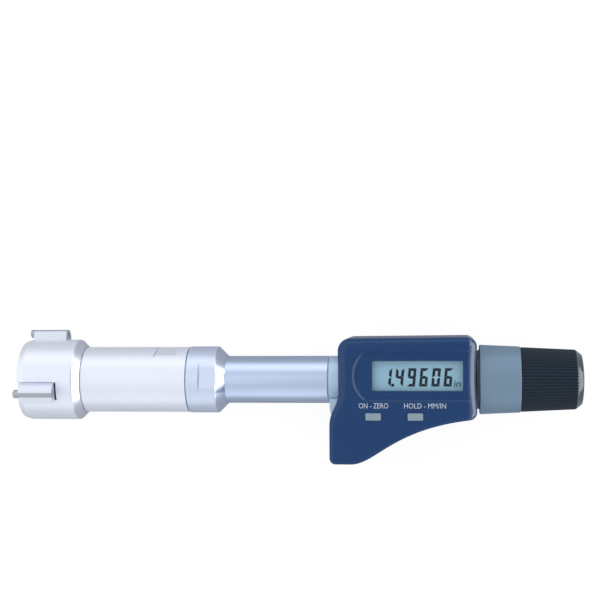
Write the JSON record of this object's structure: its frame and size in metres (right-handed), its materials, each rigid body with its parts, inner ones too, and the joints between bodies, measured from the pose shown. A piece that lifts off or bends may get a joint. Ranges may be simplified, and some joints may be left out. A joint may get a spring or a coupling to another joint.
{
  "type": "three-point inside micrometer",
  "caption": "Digital inside micrometer: cone-driven head with radial jaws, slim barrel, display housing with buttons, turning thimble and ribbed friction knob.",
  "frame": {"origin": "on the flat back of the display housing, under the tool axis, midway along the housing", "axes": "+X along the tool axis towards the knob, +Z out of the display, +Y towards the housing's top edge"},
  "size_m": [0.2043, 0.0475, 0.0332],
  "materials": {
    "satin_steel": "satin chromed steel, very light",
    "tube_steel": "satin steel, a shade darker",
    "frame_metal": "silver lacquered die casting",
    "carbide": "ground hard metal",
    "bright_steel": "ground steel",
    "dark_steel": "blackened steel",
    "housing_blue": "navy moulding, half gloss",
    "thimble_grey": "grey anodised, matt",
    "knob_black": "black ribbed moulding",
    "button_grey": "pale grey moulding",
    "window_clear": "clear polished window",
    "lcd_green": "grey-green liquid crystal panel",
    "brass": "turned brass",
    "board_green": "glass fibre board",
    "rubber_black": "black rubber"
  },
  "bodies": {
    "frame": {"head_body": "satin_steel", "head_front_plate": "bright_steel", "front_plate_screws": "dark_steel", "jaw_ring_spring": "dark_steel", "return_spring": "dark_steel", "head_sleeve": "satin_steel", "coupling_nut": "tube_steel", "barrel": "tube_steel", "frame_block": "frame_metal", "frame_screws": "dark_steel", "front_cover": "housing_blue", "rear_cover": "housing_blue", "cover_screws": "dark_steel", "display_window": "window_clear", "lcd_panel": "lcd_green", "lcd_holder": "rubber_black", "lcd_connectors": "rubber_black", "circuit_board": "board_green", "board_screws": "dark_steel", "button_switches": "dark_steel", "battery": "bright_steel", "battery_contacts": "brass", "battery_seal": "rubber_black", "spindle_bush": "brass", "inner_sleeve": "dark_steel", "adjusting_nut": "dark_steel", "encoder_stator": "board_green"},
    "push_rod": {"measuring_cone": "bright_steel", "push_rod": "bright_steel", "thrust_ball": "dark_steel"},
    "thimble": {"spindle": "bright_steel", "thimble": "thimble_grey", "thimble_nut": "dark_steel", "friction_spring": "dark_steel", "spring_seat": "bright_steel"},
    "knob": {"knob": "knob_black", "knob_bush": "brass", "friction_washer": "rubber_black"},
    "encoder_rotor": {"rotor_hub": "brass", "encoder_rotor": "board_green", "rotor_spring": "dark_steel"},
    "jaw_top": {"anvil_top": "bright_steel", "contact_rod_top": "carbide"},
    "jaw_front": {"anvil_front": "bright_steel", "contact_rod_front": "carbide"},
    "jaw_rear": {"anvil_rear": "bright_steel", "contact_rod_rear": "carbide"},
    "set_button": {"set_button": "button_grey"},
    "unit_button": {"unit_button": "button_grey"},
    "battery_cap": {"battery_cap": "housing_blue"}
  },
  "joints": [
    {"name": "cone_feed", "type": "slide", "parent": "frame", "child": "push_rod", "axis": [-1, 0, 0], "range_m": [-0.004, 0.001], "deforming": ["return_spring", "jaw_ring_spring"]},
    {"name": "thimble_turn", "type": "hinge", "parent": "push_rod", "child": "thimble", "pos_m": [0, 0, 0.01475], "axis": [-1, 0, 0], "range_deg": [-2880, 720]},
    {"name": "knob_slip", "type": "hinge", "parent": "thimble", "child": "knob", "pos_m": [0, 0, 0.01475], "axis": [-1, 0, 0], "continuous": true},
    {"name": "rotor_turn", "type": "hinge", "parent": "frame", "child": "encoder_rotor", "pos_m": [0, 0, 0.01475], "axis": [-1, 0, 0], "range_deg": [-2880, 720]},
    {"name": "jaw_top_slide", "type": "slide", "parent": "frame", "child": "jaw_top", "axis": [0, 0.9622, -0.2723], "range_m": [-0.004, 0.001]},
    {"name": "jaw_front_slide", "type": "slide", "parent": "frame", "child": "jaw_front", "axis": [0, -0.2453, 0.9694], "range_m": [-0.004, 0.001]},
    {"name": "jaw_rear_slide", "type": "slide", "parent": "frame", "child": "jaw_rear", "axis": [0, -0.7169, -0.6972], "range_m": [-0.004, 0.001]},
    {"name": "set_button_press", "type": "slide", "parent": "frame", "child": "set_button", "axis": [0, 0, -1], "range_m": [0, 0.0005], "stiffness_N_per_m": 400, "springref_m": -0.0005},
    {"name": "unit_button_press", "type": "slide", "parent": "frame", "child": "unit_button", "axis": [0, 0, -1], "range_m": [0, 0.0005], "stiffness_N_per_m": 400, "springref_m": -0.0005},
    {"name": "battery_cap_turn", "type": "hinge", "parent": "frame", "child": "battery_cap", "pos_m": [-0.0163, -0.019, 0.001], "axis": [0, 0, -1], "range_deg": [0, 90]}
  ],
  "couplings": [
    {"joint": "thimble_turn", "follows": "cone_feed", "rad_per_m": 12566},
    {"joint": "rotor_turn", "follows": "cone_feed", "rad_per_m": 12566},
    {"joint": "jaw_top_slide", "follows": "cone_feed", "ratio": 1},
    {"joint": "jaw_front_slide", "follows": "cone_feed", "ratio": 1},
    {"joint": "jaw_rear_slide", "follows": "cone_feed", "ratio": 1}
  ]
}
